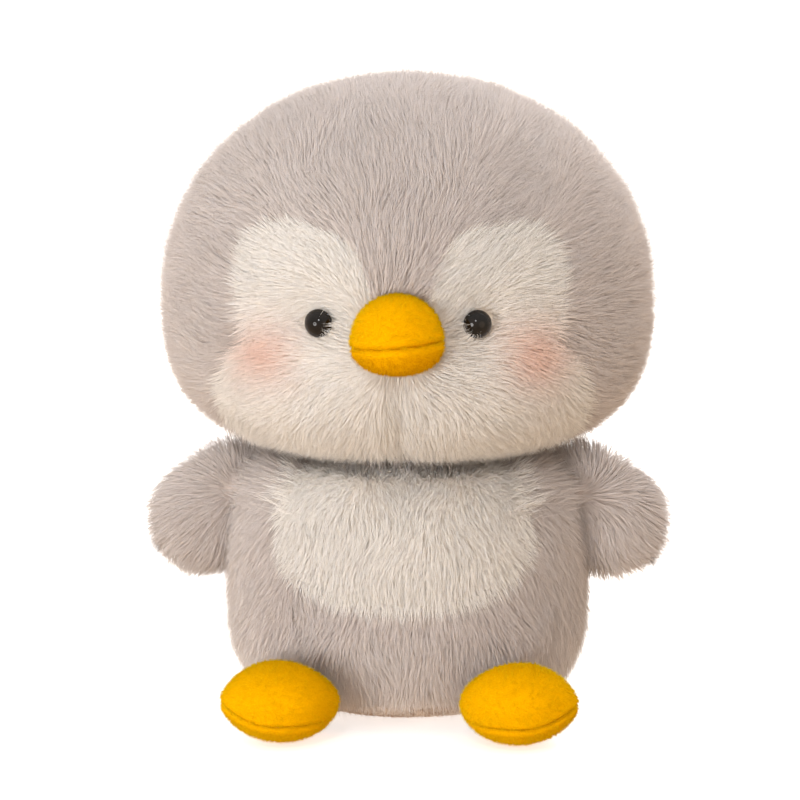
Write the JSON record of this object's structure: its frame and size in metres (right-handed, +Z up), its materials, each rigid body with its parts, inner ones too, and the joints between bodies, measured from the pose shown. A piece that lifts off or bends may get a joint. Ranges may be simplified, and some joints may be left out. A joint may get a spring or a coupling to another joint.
{
  "type": "plush penguin",
  "caption": "Sitting stuffed penguin with a long-pile skin, a soft beak, two short wings and two padded feet that flex at their seams.",
  "frame": {"origin": "centre of the flat base panel's underside", "axes": "+Z up, the face looks along -Y, +X to the right as seen from the front"},
  "size_m": [0.204, 0.17, 0.25],
  "materials": {
    "grey_fur": "matte",
    "white_fur": "matte",
    "yellow_velour": "matte",
    "black_eye": "gloss",
    "white_plastic": "matte",
    "pellet_plastic": "matte",
    "fibre_filling": "matte",
    "lining_cloth": "matte"
  },
  "bodies": {
    "torso": {"body_stuffing": "fibre_filling", "pellet_bag": "lining_cloth", "pellets": "pellet_plastic", "base_panel": "grey_fur", "belly_patch": "white_fur", "body_front_left": "grey_fur", "body_back_left": "grey_fur", "body_front_right": "grey_fur", "body_back_right": "grey_fur"},
    "neck": {"neck_gusset": "lining_cloth", "neck_stuffing": "fibre_filling"},
    "head": {"head_stuffing": "fibre_filling", "beak_upper": "yellow_velour", "beak_lower": "yellow_velour", "beak_stuffing": "fibre_filling", "eye_patch_left": "white_fur", "muzzle_left": "white_fur", "head_front_left": "grey_fur", "head_back_left": "grey_fur", "eye_left": "black_eye", "eye_washer_left": "white_plastic", "eye_patch_right": "white_fur", "muzzle_right": "white_fur", "head_front_right": "grey_fur", "head_back_right": "grey_fur", "eye_right": "black_eye", "eye_washer_right": "white_plastic"},
    "wing_left_root": {"wing_left_root": "lining_cloth"},
    "wing_left": {"wing_left_front": "grey_fur", "wing_left_back": "grey_fur", "wing_left_filling": "fibre_filling"},
    "foot_left": {"foot_left_upper": "yellow_velour", "foot_left_sole": "yellow_velour", "foot_left_filling": "fibre_filling"},
    "wing_right_root": {"wing_right_root": "lining_cloth"},
    "wing_right": {"wing_right_front": "grey_fur", "wing_right_back": "grey_fur", "wing_right_filling": "fibre_filling"},
    "foot_right": {"foot_right_upper": "yellow_velour", "foot_right_sole": "yellow_velour", "foot_right_filling": "fibre_filling"}
  },
  "joints": [
    {"name": "head_turn", "type": "hinge", "parent": "torso", "child": "neck", "pos_m": [0, 0, 0.08], "axis": [0, 0, 1], "range_deg": [-15, 15], "stiffness_Nm_per_rad": 0.6},
    {"name": "head_nod", "type": "hinge", "parent": "neck", "child": "head", "pos_m": [0, 0, 0.08], "axis": [1, 0, 0], "range_deg": [-8, 8], "stiffness_Nm_per_rad": 2},
    {"name": "wing_left_swing", "type": "hinge", "parent": "torso", "child": "wing_left_root", "pos_m": [-0.06, 0.002, 0.086], "axis": [0, 0, 1], "range_deg": [-25, 30], "stiffness_Nm_per_rad": 0.06},
    {"name": "wing_left_raise", "type": "hinge", "parent": "wing_left_root", "child": "wing_left", "pos_m": [-0.06, 0.002, 0.086], "axis": [0, 1, 0], "range_deg": [-8, 5], "stiffness_Nm_per_rad": 0.06},
    {"name": "foot_left_flex", "type": "hinge", "parent": "torso", "child": "foot_left", "pos_m": [-0.03576, -0.0396, 0.004], "axis": [-0.9272, 0.3746, 0], "range_deg": [-12, 15], "stiffness_Nm_per_rad": 0.25},
    {"name": "wing_right_swing", "type": "hinge", "parent": "torso", "child": "wing_right_root", "pos_m": [0.06, 0.002, 0.086], "axis": [0, 0, -1], "range_deg": [-25, 30], "stiffness_Nm_per_rad": 0.06},
    {"name": "wing_right_raise", "type": "hinge", "parent": "wing_right_root", "child": "wing_right", "pos_m": [0.06, 0.002, 0.086], "axis": [0, -1, 0], "range_deg": [-8, 5], "stiffness_Nm_per_rad": 0.06},
    {"name": "foot_right_flex", "type": "hinge", "parent": "torso", "child": "foot_right", "pos_m": [0.03576, -0.0396, 0.004], "axis": [-0.9272, -0.3746, 0], "range_deg": [-12, 15], "stiffness_Nm_per_rad": 0.25}
  ]
}
